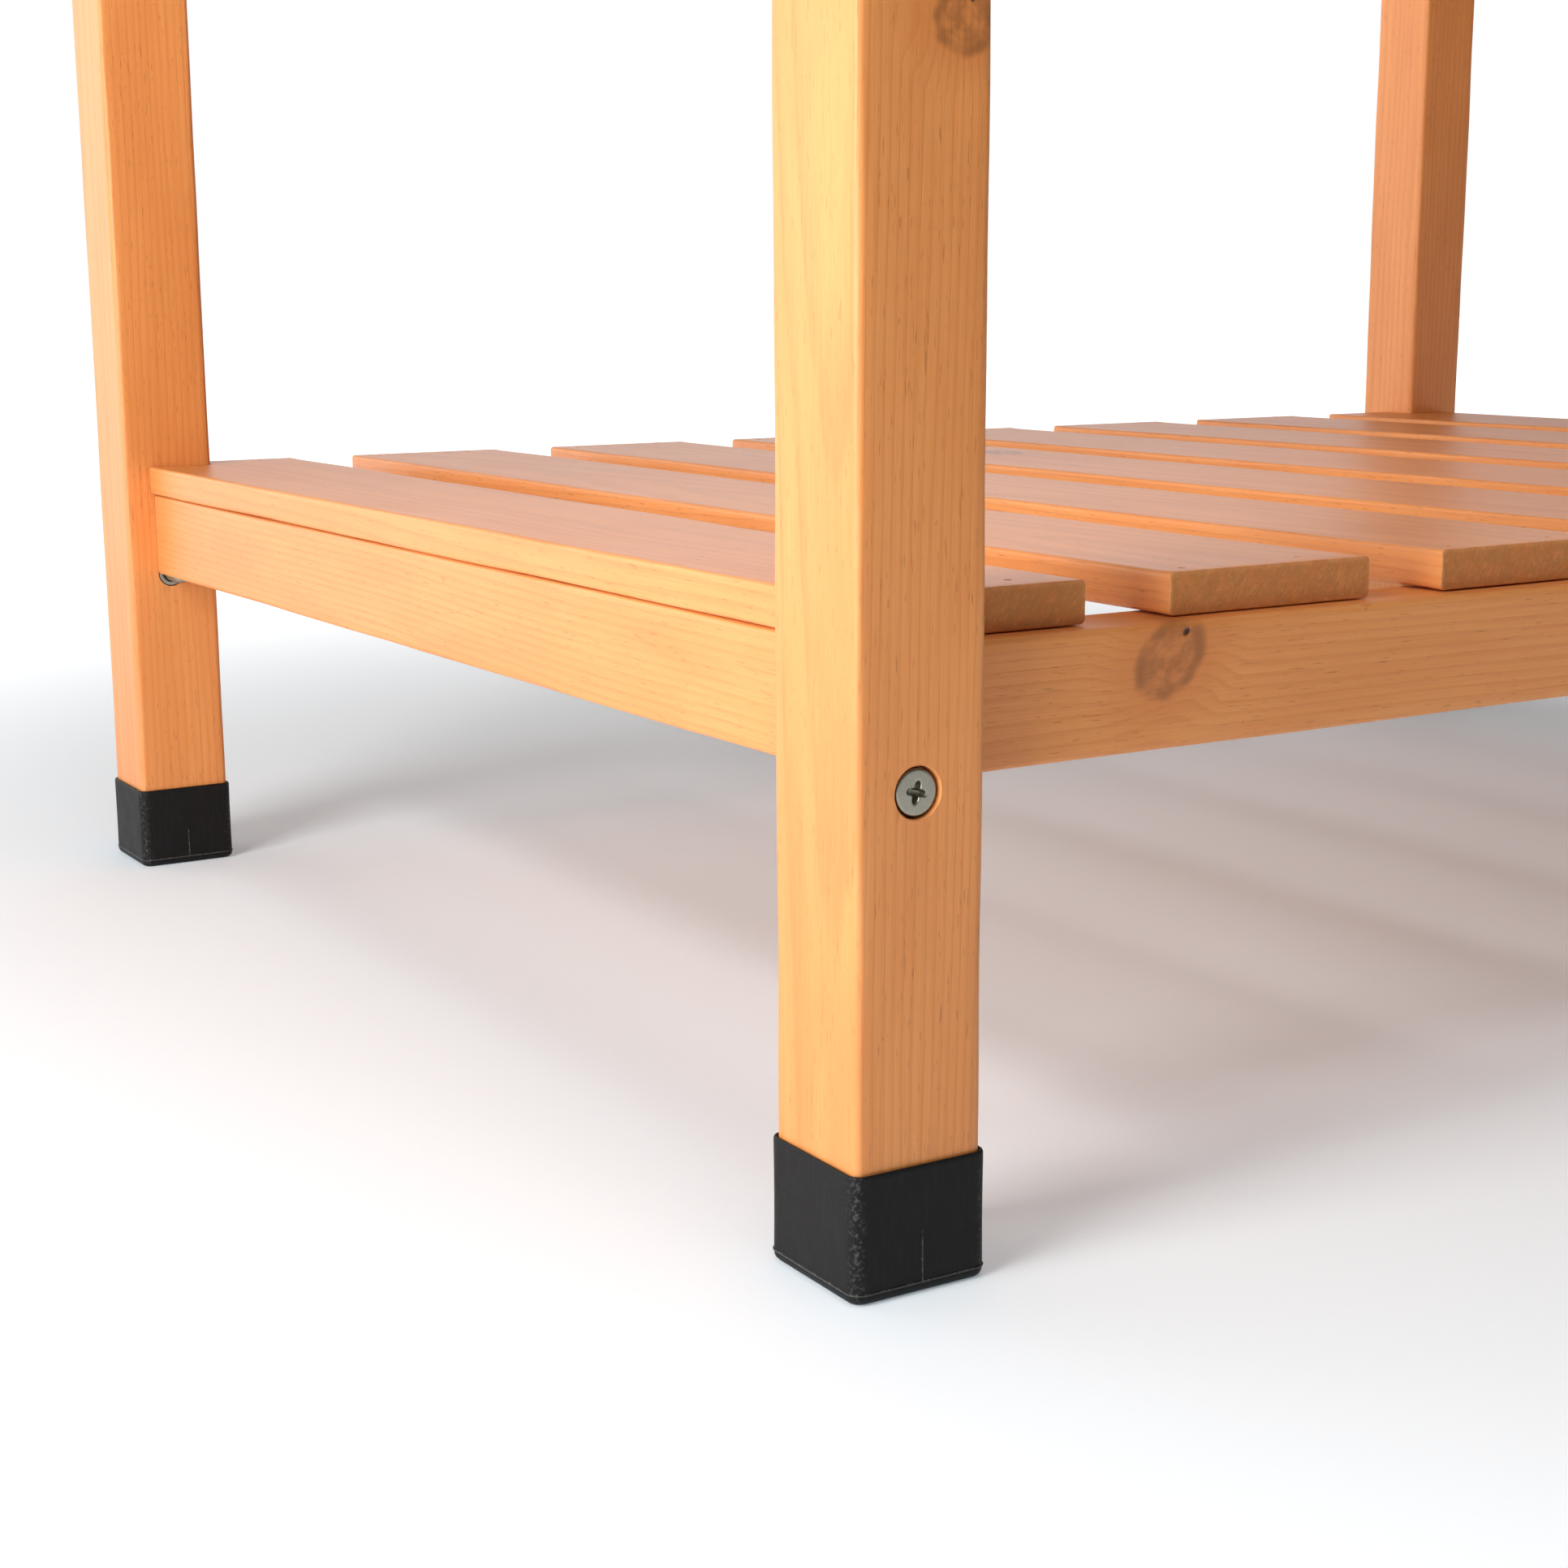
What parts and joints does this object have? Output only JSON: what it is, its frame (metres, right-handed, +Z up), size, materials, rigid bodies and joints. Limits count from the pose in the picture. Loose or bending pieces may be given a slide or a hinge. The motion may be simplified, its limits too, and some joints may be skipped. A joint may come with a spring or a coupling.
{
  "type": "potting bench",
  "caption": "Wooden potting bench with square legs in plastic foot caps, a slatted lower shelf, a boarded worktop, a drawer and a raised back with a top shelf.",
  "frame": {"origin": "on the floor, at the middle of the bench's outline seen from above", "axes": "+Z up, -Y towards the front (the drawer's face), +X towards the right leg seen from the front"},
  "size_m": [0.79, 0.5914, 1.14],
  "materials": {
    "stained_fir": "satin orange stain over fine straight grain",
    "plain_pine": "planed, unstained",
    "plywood": "sanded plywood",
    "black_plastic": "matte moulded",
    "zinc_steel": "satin zinc plate"
  },
  "bodies": {
    "bench": {"leg_front_left": "stained_fir", "leg_front_right": "stained_fir", "leg_rear_left": "stained_fir", "leg_rear_right": "stained_fir", "shelf_rail_front": "stained_fir", "shelf_rail_rear": "stained_fir", "shelf_end_rail_left": "stained_fir", "shelf_end_rail_right": "stained_fir", "shelf_slat_1": "stained_fir", "shelf_slat_2": "stained_fir", "shelf_slat_3": "stained_fir", "shelf_slat_4": "stained_fir", "shelf_slat_5": "stained_fir", "shelf_slat_6": "stained_fir", "shelf_slat_7": "stained_fir", "shelf_slat_8": "stained_fir", "apron_left": "stained_fir", "apron_right": "stained_fir", "apron_rear": "stained_fir", "drawer_rail": "stained_fir", "back_board_lower": "stained_fir", "back_board_upper": "stained_fir", "worktop_board_1": "stained_fir", "worktop_board_2": "stained_fir", "worktop_board_3": "stained_fir", "worktop_board_4": "stained_fir", "worktop_rear_strip": "stained_fir", "top_shelf": "stained_fir", "shelf_bracket_left": "stained_fir", "shelf_bracket_right": "stained_fir", "drawer_runner_left": "stained_fir", "drawer_runner_right": "stained_fir", "foot_cap_front_left": "black_plastic", "foot_cap_front_right": "black_plastic", "foot_cap_rear_left": "black_plastic", "foot_cap_rear_right": "black_plastic", "shelf_bolt_front_left": "zinc_steel", "shelf_bolt_front_right": "zinc_steel", "shelf_bolt_rear_left": "zinc_steel", "shelf_bolt_rear_right": "zinc_steel", "shelf_bolt_insert_front_left": "zinc_steel", "shelf_bolt_insert_front_right": "zinc_steel", "shelf_bolt_insert_rear_left": "zinc_steel", "shelf_bolt_insert_rear_right": "zinc_steel", "apron_bolt_front_left": "zinc_steel", "apron_bolt_front_right": "zinc_steel", "apron_bolt_rear_left": "zinc_steel", "apron_bolt_rear_right": "zinc_steel", "barrel_nut_front_left": "zinc_steel", "barrel_nut_front_right": "zinc_steel", "barrel_nut_rear_left": "zinc_steel", "barrel_nut_rear_right": "zinc_steel"},
    "drawer": {"drawer_face": "stained_fir", "drawer_knob": "stained_fir", "drawer_side_left": "plain_pine", "drawer_side_right": "plain_pine", "drawer_back": "plain_pine", "drawer_bottom": "plywood", "knob_screw": "zinc_steel"}
  },
  "joints": [
    {"name": "drawer_slide", "type": "slide", "parent": "bench", "child": "drawer", "axis": [0, -1, 0], "range_m": [0, 0.3]}
  ]
}
